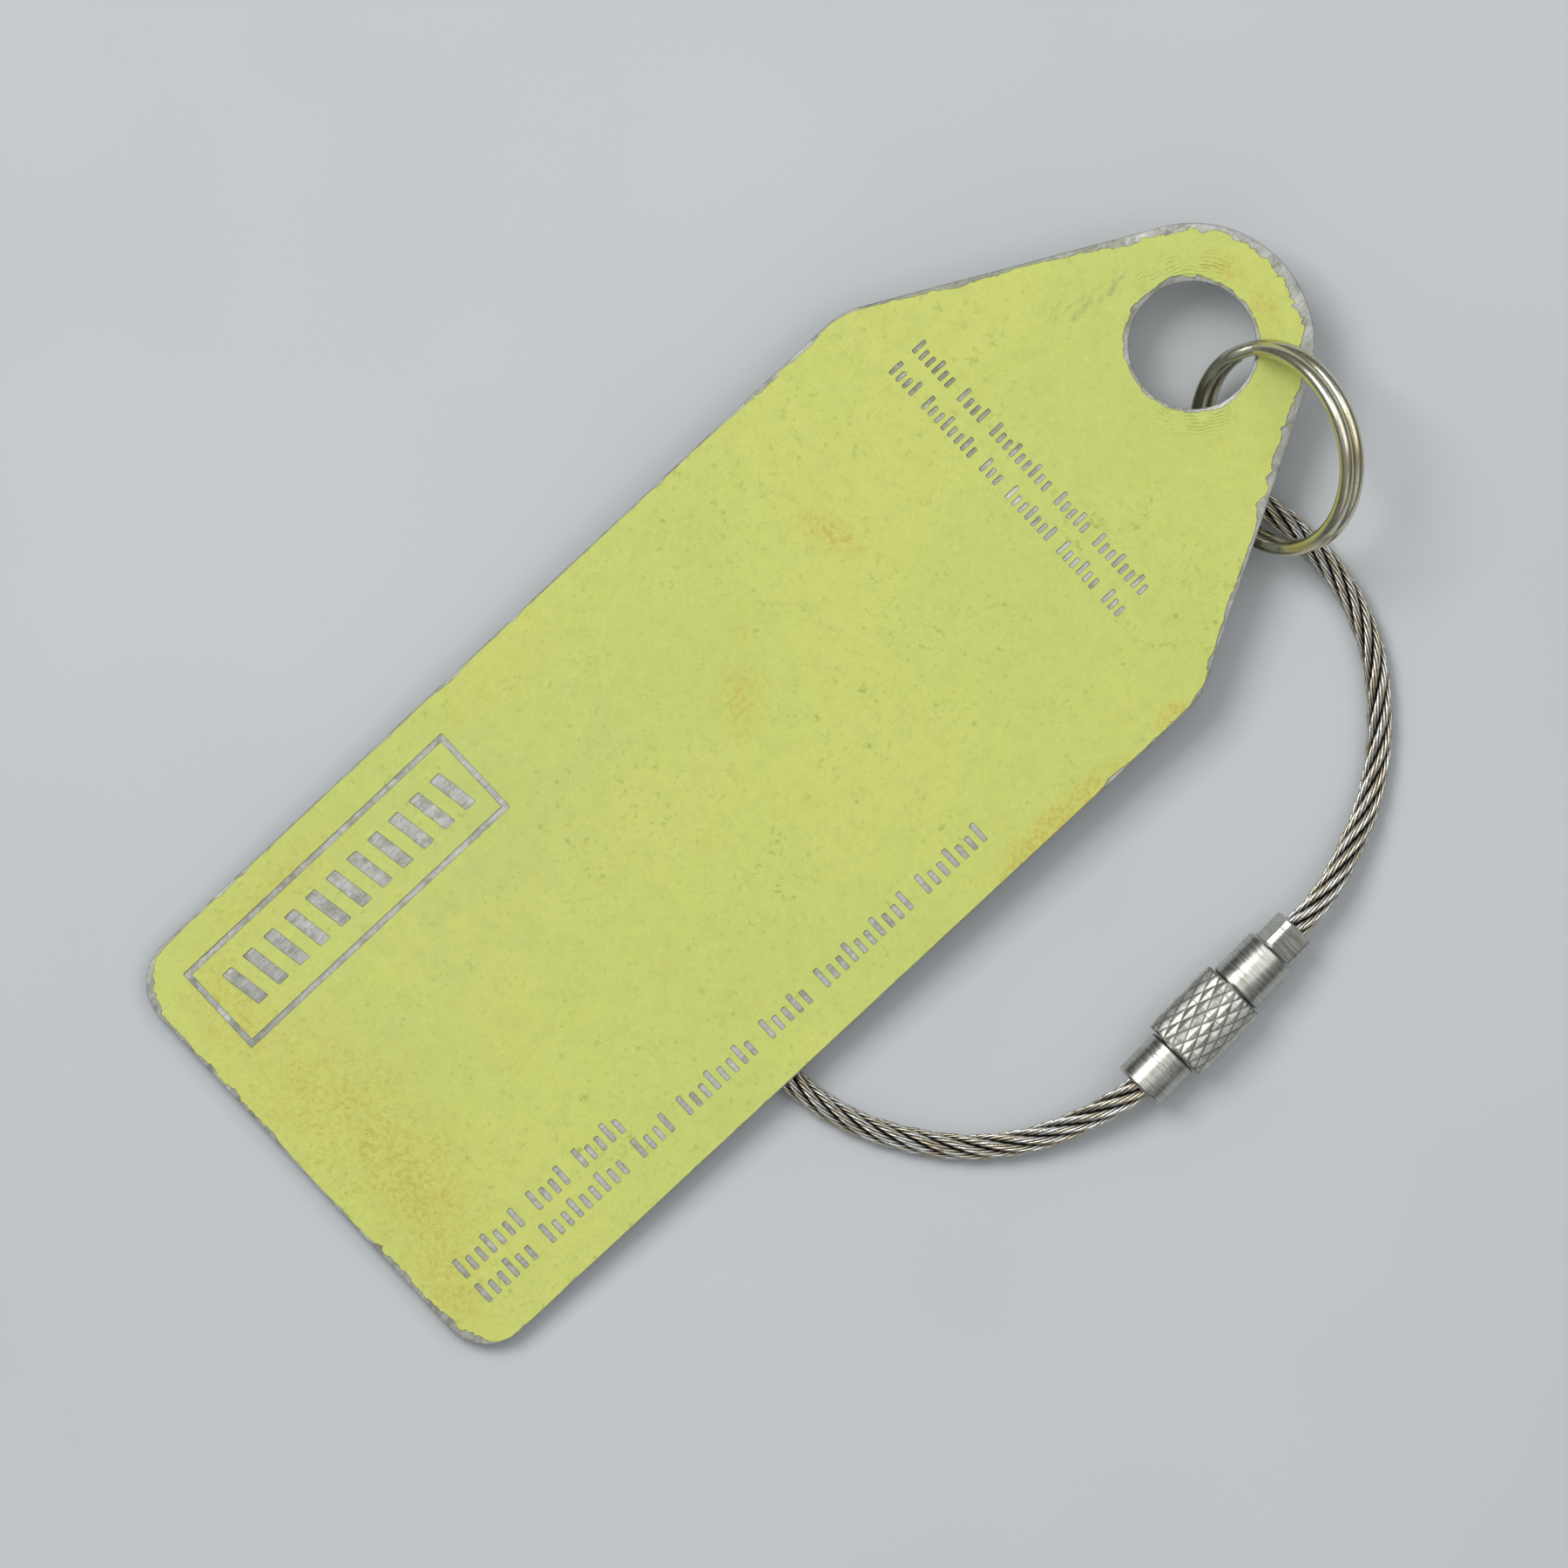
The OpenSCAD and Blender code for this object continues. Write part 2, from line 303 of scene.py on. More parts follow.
class Shader:
    """One material, and short calls that add nodes to it. Sizes are in millimetres."""

    def __init__(self, name, metallic, roughness):
        """The place that textures are read at is the object's own, turned into millimetres."""
        self.material = bpy.data.materials.new(name)
        self.material.use_nodes = True
        self.tree = self.material.node_tree
        self.surface = self.tree.nodes["Principled BSDF"]
        self.surface.inputs["Metallic"].default_value = metallic
        self.surface.inputs["Roughness"].default_value = roughness
        place = self.add("ShaderNodeTexCoord").outputs["Object"]
        self.place = self.add("ShaderNodeVectorMath", {0: place, 1: (1 / MM, 1 / MM, 1 / MM)},
                              operation="MULTIPLY").outputs[0]

    def add(self, kind, inputs=None, **settings):
        """A node with its settings, and a value or a link for each of its inputs."""
        made = self.tree.nodes.new(kind)
        for key, value in settings.items():
            setattr(made, key, value)
        for key, value in (inputs or {}).items():
            self.feed(made.inputs[key], value)
        return made

    def feed(self, socket, value):
        if isinstance(value, bpy.types.NodeSocket):
            self.tree.links.new(value, socket)
        else:
            socket.default_value = value

    def surface_is(self, **values):
        for key, value in values.items():
            self.feed(self.surface.inputs[key.replace("_", " ")], value)

    def stretched(self, turn, scale, at=(0, 0, 0)):
        """Coordinates of a patch at a place, turned, and larger by scale along each side."""
        mapped = self.add("ShaderNodeMapping", {"Vector": self.place, "Location": at,
                                                "Rotation": turn, "Scale": scale},
                          vector_type="TEXTURE")
        return mapped.outputs[0]

    def noise(self, size, detail=2.0, roughness=0.5, place=None, seed=0.0):
        """Cloudy noise around 0.5 with features of this size."""
        made = self.add("ShaderNodeTexNoise",
                        {"Vector": place or self.place, "W": seed, "Scale": 1 / size,
                         "Detail": detail, "Roughness": roughness}, noise_dimensions="4D")
        return made.outputs["Fac"]

    def span(self, value, low, high, to_low=0.0, to_high=1.0):
        """The value's range from low to high, eased into another range and held within it."""
        made = self.add("ShaderNodeMapRange", {"Value": value, "From Min": low, "From Max": high,
                                               "To Min": to_low, "To Max": to_high},
                        interpolation_type="SMOOTHSTEP")
        return made.outputs[0]

    def maths(self, kind, a, b=0.0):
        return self.add("ShaderNodeMath", {0: a, 1: b}, operation=kind).outputs[0]

    def product(self, *values):
        total = values[0]
        for value in values[1:]:
            total = self.maths("MULTIPLY", total, value)
        return total

    def blend(self, share, a, b):
        """Colour a where the share is 0 and colour b where it is 1."""
        made = self.add("ShaderNodeMix", data_type="RGBA")
        for socket, value in zip((made.inputs[0], made.inputs[6], made.inputs[7]), (share, a, b)):
            self.feed(socket, value)
        return made.outputs[2]

    def spot(self, at, size, turn=0.0):
        """1 at a place on the plate, falling to 0 at size from it."""
        plate_height, reach_up = 4, 40
        place = self.stretched((0, 0, math.radians(turn)), (*size, reach_up), (*at, plate_height))
        return self.add("ShaderNodeTexGradient", {"Vector": place},
                        gradient_type="SPHERICAL").outputs["Fac"]

    def relief(self, height, depth, under=None):
        """Bump of this depth in millimetres, on top of another if given."""
        inputs = {"Height": height, "Distance": depth * MM}
        if under:
            inputs["Normal"] = under
        return self.add("ShaderNodeBump", inputs).outputs["Normal"]


# ---------------------------------------------------------------- materials

def primer_material():
    """Matt yellow-green primer, mottled, flecked and stained by wear."""
    s = Shader("primer_paint", 0.0, 0.6)
    crust = end_crust(s)
    crackle = crackle_lines(s)
    colour = s.blend(s.maths("MULTIPLY", crust, 0.55), mottled_primer(s), srgb(204, 187, 84))
    colour = s.blend(green_flecks(s), colour, srgb(156, 176, 86))
    colour = add_ochre(s, colour)
    colour = add_smudges(s, colour)
    colour = s.blend(s.maths("MULTIPLY", crackle, 0.3), colour, srgb(134, 142, 84))
    bump = s.relief(s.noise(0.45, 3, 0.6, seed=6), 0.03)
    bump = s.relief(s.noise(0.12, 2, 0.6, seed=7), 0.008, bump)
    bump = s.relief(crust, 0.03, bump)
    bump = s.relief(s.maths("SUBTRACT", 1, crackle), 0.03, bump)
    s.surface_is(Base_Color=colour, Normal=bump,
                 Roughness=s.span(s.noise(1.5, 3, seed=8), 0.3, 0.7, 0.5, 0.68))
    s.surface.inputs["Specular IOR Level"].default_value = 0.4
    return s.material


def mottled_primer(s):
    """The paint's own colour, uneven at every scale and dulled beside the frame."""
    drift = s.span(s.noise(14, 2, seed=1), 0.35, 0.65)
    colour = s.blend(drift, srgb(202, 213, 113), srgb(209, 215, 113))
    cloud = s.span(s.noise(1.1, 4, 0.65, seed=2), 0.42, 0.68)
    colour = s.blend(s.maths("MULTIPLY", cloud, 0.35), colour, srgb(188, 200, 108))
    mottle = s.noise(0.3, 3, 0.65, seed=28)
    colour = s.blend(s.span(mottle, 0.55, 0.7, 0, 0.5), colour, srgb(184, 194, 98))
    colour = s.blend(s.span(mottle, 0.45, 0.3, 0, 0.5), colour, srgb(216, 222, 124))
    grime_and_painted_shade = s.product(s.spot((-8, -22), (13, 24)), s.span(s.noise(2.2, 4, 0.6, seed=3), 0.3, 0.7))
    return s.blend(s.maths("MULTIPLY", grime_and_painted_shade, 0.45), colour, srgb(186, 194, 122))


def end_crust(s):
    """Grains of rough, browned paint in clumps along the square end."""
    clumps = s.span(s.noise(1.8, 2, seed=39), 0.4, 0.6, 0.5, 1.4)
    grains = s.span(s.noise(0.34, 3, 0.6, seed=29), 0.48, 0.64)
    return s.product(s.spot((2, -38.5), (15, 7.5)), clumps, grains)


def green_flecks(s):
    """Soft specks of darker green, a few tenths of a millimetre across."""
    speck = s.span(s.noise(0.5, 3, 0.6, seed=4), 0.55, 0.74, 0, 0.8)
    crowd = s.span(s.noise(3.5, 3, seed=9), 0.4, 0.62, 0.25, 1.0)
    sparse = s.span(s.spot((0, 36), (14, 16)), 0.1, 0.5, 1.0, 0.15)
    return s.product(speck, crowd, sparse)


def add_ochre(s, colour):
    """Grainy ochre patches, thickest near the square end and along the edges."""
    grain = s.span(s.noise(0.36, 4, 0.75, seed=10), 0.44, 0.62)
    # place, size, turn in degrees and strength of each patch
    patches = [
        ((-7.0, 9.8), (3.4, 1.6), 15, 1.1),
        ((-9.8, 11.3), (2.2, 1.4), 15, 0.5),
        ((-3.2, -1.6), (4.0, 2.4), -35, 0.8),
        ((-6.0, 1.6), (1.8, 1.2), -35, 0.6),
        ((16.3, 17.7), (0.9, 1.6), 0, 1.8),
        ((16.4, 8.2), (1.5, 7.5), 0, 1.5),
        ((-2.0, -38.0), (13.0, 6.0), 20, 0.55),
        ((-14.6, -31.0), (3.0, 9.0), 0, 0.65),
        ((-11.8, -38.6), (4.8, 3.4), 0, 0.75),
        ((7.0, -38.6), (7.0, 4.0), -15, 0.8),
        ((12.5, -41.0), (4.5, 3.0), 0, 0.7),
        ((-15.0, -12.0), (2.5, 8.0), 0, 0.35),
        ((-2.4, 39.5), (2.2, 1.3), 22, 0.9),
        ((1.3, 39.8), (2.4, 1.4), -15, 0.9),
    ]
    cover = s.span(s.noise(3.2, 3, 0.6, seed=11), 0.52, 0.75, 0.0, 0.35)
    for at, size, turn, strength in patches:
        cover = s.maths("ADD", cover, s.maths("MULTIPLY", s.spot(at, size, turn), strength))
    haze = s.maths("MULTIPLY", s.maths("MINIMUM", cover, 1), 0.38)
    colour = s.blend(haze, colour, srgb(210, 200, 90))
    amount = s.span(s.product(cover, s.maths("ADD", grain, 0.1)), 0.05, 0.9, 0.0, 0.75)
    return s.blend(amount, colour, srgb(196, 182, 82))


def add_smudges(s, colour):
    """Grey smears rubbed into the paint beside the hole."""
    smear = s.noise(1.0, 5, 0.65, s.stretched((0, 0, math.radians(12)), (0.7, 1.8, 1)), seed=12)
    beside, below = s.spot((-6.1, 34.2), (1.3, 4.6), 8), s.spot((-6.8, 30.8), (1.7, 2.6), -25)
    cover = s.maths("MAXIMUM", beside, below)
    amount = s.span(s.product(cover, s.span(smear, 0.44, 0.64)), 0.1, 0.75, 0.0, 0.5)
    return s.blend(amount, colour, srgb(140, 148, 112))


def crackle_lines(s):
    """Fine cracks that run round the punched hole, where the sheet was drawn down."""
    flattened, cracks_per_mm = 1000, 4.2
    centre = s.stretched((0, 0, 0), (1, 1, flattened), (0, HOLE_Y, 0))
    away = s.add("ShaderNodeVectorMath", {0: centre}, operation="LENGTH").outputs["Value"]
    wander = s.maths("MULTIPLY", s.noise(2.4, 4, 0.6, seed=13), 1.5)
    waves = s.maths("FRACT", s.maths("MULTIPLY", s.maths("ADD", away, wander), cracks_per_mm))
    line = s.span(s.maths("ABSOLUTE", s.maths("SUBTRACT", waves, 0.5)), 0.2, 0.03)
    near = s.span(away, 6.6, 4.8)
    patchy = s.span(s.noise(1.6, 3, 0.6, seed=14), 0.46, 0.6)
    side = s.add("ShaderNodeVectorMath", {0: centre, 1: (-0.82, 0.57, 0)}, operation="DOT_PRODUCT")
    facing = s.maths("DIVIDE", s.maths("ABSOLUTE", side.outputs["Value"]), away)
    return s.product(line, near, patchy, s.span(facing, 0.55, 0.9, 0.1, 1))


def burnt_edge_and_painted_shade_material():
    """Wall of the coat, darker than its top: dark where a mark was burnt through it, and painted shade
    on the walls of the chips.
    """
    s = Shader("primer_edge", 0.0, 0.75)
    tone = s.span(s.noise(0.8, 3, seed=15), 0.35, 0.65)
    # painted shade on the chipped edges' walls, and burnt colour at the marks: the walls are darker
    # than the paint's top
    s.surface_is(Base_Color=s.blend(tone, srgb(104, 112, 66), srgb(142, 150, 92)),
                 Normal=s.relief(s.noise(0.1, 2, seed=16), 0.02))
    return s.material


def aluminium_material():
    """Bare sheet: rolled grain, stained in patches and scuffed."""
    s = Shader("bare_aluminium_sheet", 0.6, 0.6)
    rolled = s.stretched((0, 0, 0), (1, 14, 1))
    grain = s.noise(0.12, 3, 0.6, rolled, seed=17)
    colour = s.blend(s.span(grain, 0.3, 0.7), srgb(172, 173, 166), srgb(198, 199, 193))
    dull = s.span(s.product(s.spot((-12, 27), (9, 22), 20), 2), 0.1, 0.8, 0.0, 0.6)
    colour = s.blend(dull, colour, srgb(132, 140, 112))
    patch = s.span(s.noise(0.8, 5, 0.7, seed=18), 0.46, 0.62)
    colour = s.blend(s.maths("MULTIPLY", patch, 0.6), colour, srgb(136, 135, 118))
    pale = s.span(s.noise(0.3, 3, 0.65, seed=19), 0.55, 0.68)
    colour = s.blend(s.maths("MULTIPLY", pale, 0.35), colour, srgb(214, 217, 212))
    scratch = s.span(s.noise(0.22, 1, 0.5, s.stretched((0, 0, 0.7), (1, 30, 1)), seed=20), 0.66, 0.74)
    bump = s.relief(grain, 0.008)
    bump = s.relief(s.maths("SUBTRACT", 1, scratch), 0.012, bump)
    bump = s.relief(s.noise(0.35, 4, 0.65, seed=21), 0.015, bump)
    roughness = s.span(s.noise(0.9, 4, 0.6, seed=22), 0.3, 0.7, 0.5, 0.75)
    s.surface_is(Base_Color=colour, Normal=bump, Roughness=roughness)
    return s.material


def nickel_material():
    """Polished nickel with a straw tint, rubbed dull in places."""
    s = Shader("nickel_wire_polished", 1.0, 0.25)
    tint = s.span(s.noise(3, 2, seed=23), 0.35, 0.65)
    colour = s.blend(tint, srgb(216, 214, 194), srgb(204, 194, 160))
    rub = s.span(s.noise(0.5, 4, 0.7, seed=24), 0.5, 0.75)
    bump = s.relief(s.noise(0.25, 3, 0.6, seed=25), 0.004)
    s.surface_is(Base_Color=s.blend(s.maths("MULTIPLY", rub, 0.4), colour, srgb(160, 152, 132)),
                 Normal=bump, Roughness=s.span(rub, 0, 1, 0.22, 0.38))
    return s.material


def rope_material():
    """Drawn stainless wire: tone differs from wire to wire, and painted shade darkens the gaps."""
    s = Shader("rope_wire_drawn", 1.0, 0.34)
    facts = s.add("ShaderNodeAttribute", attribute_name="wire_facts").outputs["Color"]
    split = s.add("ShaderNodeSeparateColor", {0: facts})
    depth, tone = split.outputs[0], split.outputs[1]
    colour = s.blend(tone, srgb(190, 182, 160), srgb(218, 222, 224))
    stain = s.span(s.noise(0.6, 3, 0.6, seed=26), 0.48, 0.62)
    colour = s.blend(s.maths("MULTIPLY", stain, 0.5), colour, srgb(166, 146, 112))
    pale = s.span(s.noise(0.5, 3, 0.6, seed=36), 0.55, 0.7)
    colour = s.blend(s.maths("MULTIPLY", pale, 0.6), colour, srgb(236, 236, 228))
    # painted shade: darker the deeper a point lies between the wires
    colour = s.blend(s.span(depth, 0.06, 0.36), colour, srgb(30, 28, 26))
    s.surface_is(Base_Color=colour, Normal=s.relief(s.noise(0.06, 2, seed=27), 0.004),
                 Roughness=s.span(depth, 0, 0.4, 0.24, 0.65))
    return s.material


def turned_material(name, seed, tones, roughness):
    """Turned stainless steel: fine lines round the clasp's axis and a few deeper ones."""
    s = Shader(name, 1.0, roughness)
    across = s.stretched((0, 0, CLASP_TURN), (14, 1, 14), tuple(CLASP_AT))
    lines = s.noise(0.11, 3, 0.75, across, seed=seed)
    deep = s.span(s.noise(0.3, 2, 0.6, across, seed=seed + 1), 0.58, 0.68)
    worn = s.span(s.noise(0.9, 4, 0.6, seed=seed + 2), 0.5, 0.8)
    colour = s.blend(s.span(lines, 0.35, 0.65), *tones)
    colour = s.blend(s.maths("MULTIPLY", worn, 0.3), colour, srgb(140, 137, 120))
    # painted shade: the nut's knurl valleys and its inside are darkened by depth below the knurl's
    # crests; the barrels carry no such attribute
    grime_and_painted_shade = s.add("ShaderNodeAttribute", attribute_name="grime_and_painted_shade").outputs["Fac"]
    colour = s.blend(s.span(grime_and_painted_shade, 0.7, 1, 0, 0.75), colour, srgb(84, 80, 66))
    bump = s.relief(lines, 0.016)
    bump = s.relief(s.maths("SUBTRACT", 1, deep), 0.02, bump)
    s.surface_is(Base_Color=colour, Normal=bump,
                 Roughness=s.span(lines, 0.3, 0.7, roughness, roughness + 0.1))
    return s.material


# ---------------------------------------------------------------- wire rope

def clasp_point(along):
    """A point on the clasp's axis."""
    return CLASP_AT + along * CLASP_DIR


def rope_line():
    """The rope's centre line, from inside the stud end round to inside the swivel end."""
    straight_out = 1.5
    route = [clasp_point(CLASP_L + along) for along in (-CABLE_IN, 0, straight_out)]
    route += [Vector(p) for p in FREE_ROUTE]
    route += [clasp_point(0), clasp_point(CABLE_IN)]
    return spline(route, per_span=12)


def add_strand(k, points, frames, spacing, mesh, facts):
    """The outer wires of strand k, wound against the strand's own lay."""
    sides, phase = 6, 0.37 * k
    for j in range(WIRES):
        tone = random.random()
        start = len(mesh[0])
        for i, (centre, (side, up)) in enumerate(zip(points, frames)):
            along = i * spacing
            turn = TURN * (k / STRANDS + along / STRAND_LAY)
            out = math.cos(turn) * side + math.sin(turn) * up
            across = math.cos(turn) * up - math.sin(turn) * side
            spin = TURN * (j / WIRES - along / WIRE_LAY + phase)
            offset = math.cos(spin) * out + math.sin(spin) * across
            middle = centre + STRAND_AT * out + WIRE_D * offset
            for m in range(sides):
                angle = TURN * m / sides + spin
                rim = math.cos(angle) * out + math.sin(angle) * across
                point = middle + WIRE_D / 2 * rim
                mesh[0].append(point)
                # depth into the rope, which the material paints as shade
                depth = 1 - (point - centre).length / (ROPE_D / 2)
                facts.append((depth, tone, 0, 1))
        mesh[1].extend(band_faces(sides, len(points), start=start))
        mesh[1].extend(cap_faces(sides, len(points), start))


def add_core(points, frames, mesh, facts):
    """The middle strand, seen only at the bottom of the gaps, and painted almost black there as shade.
    """
    # a depth of 0.7 gives the core the full painted shade of the rope's material
    sides, depth, tone = 10, 0.7, 0.5
    start = len(mesh[0])
    for centre, (side, up) in zip(points, frames):
        for m in range(sides):
            angle = TURN * m / sides
            mesh[0].append(centre + CORE_R * (math.cos(angle) * side + math.sin(angle) * up))
            facts.append((depth, tone, 0, 1))
    mesh[1].extend(band_faces(sides, len(points), start=start))
    mesh[1].extend(cap_faces(sides, len(points), start))


def make_rope():
    """The rope, with each point's depth and its wire's tone kept for the material."""
    points, spacing = evenly(rope_line(), ROPE_STEP)
    frames = carried_frames(points)
    mesh, facts = ([], []), []
    for k in range(STRANDS):
        add_strand(k, points, frames, spacing, mesh, facts)
    add_core(points, frames, mesh, facts)
    rope = make_piece("wire_rope", *mesh, [rope_material()])
    layer = rope.data.color_attributes.new("wire_facts", "FLOAT_COLOR", "POINT")
    layer.data.foreach_set("color", [c for fact in facts for c in fact])
    sharpen(rope, 75)
    install(rope, "loop", "cable")
    return rope, points, spacing * (len(points) - 1)


# ---------------------------------------------------------------- tag plate and its coat

def outline(step):
    """Points along the plate's edge and their outward directions, in the plate's own plane."""
    half = PLATE_W / 2
    shoulder_x = half - SHOULDER_R
    shoulder_y = HOLE_Y + (TIP_R - SHOULDER_R - shoulder_x * math.cos(TAPER)) / math.sin(TAPER)
    corner_x, corner_y = half - CORNER_R, CORNER_R - PLATE_L / 2
    quarter = math.pi / 2
    arcs = [
        (corner_x, corner_y, CORNER_R, -quarter, 0),
        (shoulder_x, shoulder_y, SHOULDER_R, 0, TAPER),
        (0, HOLE_Y, TIP_R, TAPER, math.pi - TAPER),
        (-shoulder_x, shoulder_y, SHOULDER_R, math.pi - TAPER, math.pi),
        (-corner_x, corner_y, CORNER_R, math.pi, math.pi + quarter),
    ]
    samples = []
    for x, y, r, start, end in arcs:
        count = max(2, round(r * (end - start) / step))
        for k in range(count + 1):
            angle = start + (end - start) * k / count
            normal = Vector((math.cos(angle), math.sin(angle)))
            samples.append((Vector((x, y)) + r * normal, normal))
    return fill_straights(samples, step)


def fill_straights(samples, step):
    """Adds even points wherever two neighbours of a closed line are further apart than step."""
    filled = []
    for (a, normal_a), (b, normal_b) in zip(samples, samples[1:] + samples[:1]):
        filled.append((a, normal_a))
        count = int((b - a).length / step)
        for k in range(1, count):
            filled.append((a.lerp(b, k / count), normal_a.lerp(normal_b, k / count)))
    return filled


def ring_samples(radius, count):
    """A circle round the hole with directions that point into the hole."""
    samples = []
    for k in range(count):
        angle = TURN * k / count
        away = Vector((math.cos(angle), math.sin(angle)))
        samples.append((Vector((0, HOLE_Y)) + radius * away, -away))
    return samples


def flaked(x, y, size, seed):
    """-1 to 1, the same over patches of about this size and different from patch to patch."""
    shift = 0.9 * rough(x, y, 1.3 * size, seed + 30)
    return noise.cell(Vector((x / size + shift, y / size + 1.7 * shift, 7.3 * seed)))


def ragged(x, y, seed):
    """0 in most places, rising to about 1 in bites of a millimetre or less."""
    broad = rough(x, y, 2.2, seed) + 0.6 * rough(x, y, 0.9, seed + 1)
    return max(0.0, broad + 0.3 * flaked(x, y, 0.7, seed) - 0.05) * 1.2


# How worn the coat is at places round the plate's edge: place, usual depth, depth of the bites
WEAR = [
    ((16.8, -30), 0.05, 0.03), ((16.8, -12), 0.05, 0.03), ((16.8, 5), 0.06, 0.06),
    ((16.5, 17), 0.14, 0.2), ((12, 27), 0.3, 0.35), ((7.5, 36), 0.45, 0.4),
    ((3, 42), 0.7, 0.4), ((-4, 41), 0.5, 0.35), ((-10, 30), 0.26, 0.14),
    ((-16, 19), 0.16, 0.15), ((-16.8, 0), 0.09, 0.18), ((-16.8, -25), 0.08, 0.08),
    ((-16.5, -38), 0.16, 0.15), ((-14.5, -42), 0.3, 0.3), ((-8, -42.6), 0.2, 0.3),
    ((2, -42.6), 0.14, 0.25), ((11.5, -42.6), 0.35, 0.35), ((14.4, -42.2), 0.5, 0.3),
    ((16.3, -40.2), 0.08, 0.1), ((16.8, -37), 0.08, 0.08),
]


def wear_at(point):
    """The wear table's two depths, blended for a place on the edge."""
    weights = [1 / (0.5 + math.dist(point, place)) ** 4 for place, _, _ in WEAR]
    total = sum(weights)
    return tuple(sum(w * row[k] for w, row in zip(weights, WEAR)) / total for k in (1, 2))


def rolled_over(point):
    """How far the sheet's own edge is rubbed round here."""
    return 0.04 + 0.25 * wear_at(point)[0]


def hole_rolled_over(_point):
    """How far the hole's edge is rubbed round, the same everywhere."""
    return 0.12


def chip_depth(point):
    """How far the coat has worn back from the plate's edge here."""
    x, y = point
    usual, bite = wear_at(point)
    fine = (0.1 * rough(x, y, 0.3, 4) + 0.16 * flaked(x, y, 0.4, 5) + 0.18 * flaked(x, y, 0.9, 6)
            + 0.5 * rough(x, y, 3.4, 3))
    return max(rolled_over(point) + 0.02, usual * (1 + fine) + bite * ragged(x, y, 2))


def hole_chip_depth(point):
    """How far the coat has worn back from the hole here, most at its lower left."""
    x, y = point[0], point[1] - HOLE_Y
    left = max(0.0, -x / HOLE_R)
    return (0.2 + 0.14 * left + 0.05 * rough(x, y, 0.4, 6) + 0.07 * flaked(x, y, 0.7, 7)
            + 0.14 * ragged(x, y + 50, 7))


def moved_in(samples, depth):
    """The line of samples, pulled back from its directions by the depth at each place."""
    return [p - depth(p) * n for p, n in samples]


def shape_loop(corners, step=0.3, nick=0.05, wobble=0.022):
    """A closed shape with clipped corners and slightly uneven sides."""
    points = []
    count = len(corners)
    for i, here in enumerate(corners):
        before, after = corners[i - 1], corners[(i + 1) % count]
        points.append(here + nick * (before - here).normalized())
        start = here + nick * (after - here).normalized()
        end = after + nick * (here - after).normalized()
        parts = max(1, round((end - start).length / step))
        points += [start.lerp(end, k / parts) for k in range(parts)]
    return [p + wobble * Vector((rough(*p, 0.35, 8), rough(*p, 0.35, 9))) for p in points]


def rectangle(x, y, w, h):
    """Corners, counter-clockwise from the lower left."""
    return [Vector(c) for c in ((x, y), (x + w, y), (x + w, y + h), (x, y + h))]


def tick_loops(rows, tick, upright):
    """Groups of ticks in rows, along X when upright or along Y when not, every third one taller."""
    pitch, height = tick
    loops = []
    for (x, y), words in rows:
        along = 0
        for word in words:
            for i in range(word):
                tall = height if i % 3 == 0 else 0.72 * height
                start, wide = (along + i) * pitch, TICK_SHARE * pitch
                if upright:
                    corners = rectangle(x + start, y - height / 2, wide, tall)
                else:
                    corners = rectangle(x + height / 2 - tall, y + start, tall, wide)
                loops.append(shape_loop(corners))
            along += word + 1
    return loops


def stripe_loops():
    """The slanted stripes inside the frame."""
    loops = []
    for i in range(STRIPES):
        x = FRAME_AT[0] - STRIPE_H / 2
        y = FRAME_AT[1] + (i - STRIPES / 2 + 0.25) * STRIPE_PITCH
        slope = [(0, 0), (STRIPE_H, STRIPE_LEAN - STRIPE_W / 2),
                 (STRIPE_H, STRIPE_LEAN + STRIPE_W / 2), (0, STRIPE_W)]
        loops.append(shape_loop([Vector((x + dx, y + dy)) for dx, dy in slope]))
    return loops


def mark_loops():
    """Outlines of everything cut through the coat, each with True if paint is left inside it."""
    x, y = FRAME_AT[0] - FRAME_W / 2, FRAME_AT[1] - FRAME_L / 2
    outer = shape_loop(rectangle(x, y, FRAME_W, FRAME_L))
    inner = shape_loop(rectangle(x + FRAME_LINE, y + FRAME_LINE,
                                 FRAME_W - 2 * FRAME_LINE, FRAME_L - 2 * FRAME_LINE))
    marks = stripe_loops() + tick_loops(HOLE_ROWS, SMALL_TICK, True)
    marks += tick_loops(SIDE_ROWS, LARGE_TICK, False)
    return [(outer, False), (inner, True)] + [(mark, False) for mark in marks]


def inside(points, loops):
    """True for each point that lies within an odd number of the loops."""
    a = np.array([p for loop in loops for p in loop])
    b = np.array([p for loop in loops for p in loop[1:] + loop[:1]])
    crossings = np.zeros(len(points), int)
    rise = b[:, 1] - a[:, 1]
    rise[rise == 0] = 1e-12
    for start in range(0, len(points), 500):
        x, y = np.array(points[start:start + 500]).T[:, :, None]
        spans = (a[:, 1] > y) != (b[:, 1] > y)
        meets = a[:, 0] + (y - a[:, 1]) * (b[:, 0] - a[:, 0]) / rise
        crossings[start:start + 500] = (spans & (x < meets)).sum(axis=1)
    return crossings % 2 == 1


def fill(loops):
    """Triangles between the loops, by the even-odd rule, as (points, faces)."""
    flat = [Vector(p) for loop in loops for p in loop]
    edges, start = [], 0
    for loop in loops:
        count = len(loop)
        edges += [(start + k, start + (k + 1) % count) for k in range(count)]
        start += count
    points, _, faces, _, _, _ = delaunay_2d_cdt(flat, edges, [], 0, 1e-6, False)
    middles = [sum((points[i] for i in face), Vector((0, 0))) / 3 for face in faces]
    kept = inside([tuple(m) for m in middles], [[tuple(p) for p in loop] for loop in loops])
    return points, without_slivers([tuple(face) for face, keep in zip(faces, kept) if keep], edges)


def sides_of(face):
    """The face's edges, each without a direction."""
    return [frozenset(side) for side in zip(face, face[1:] + face[:1])]


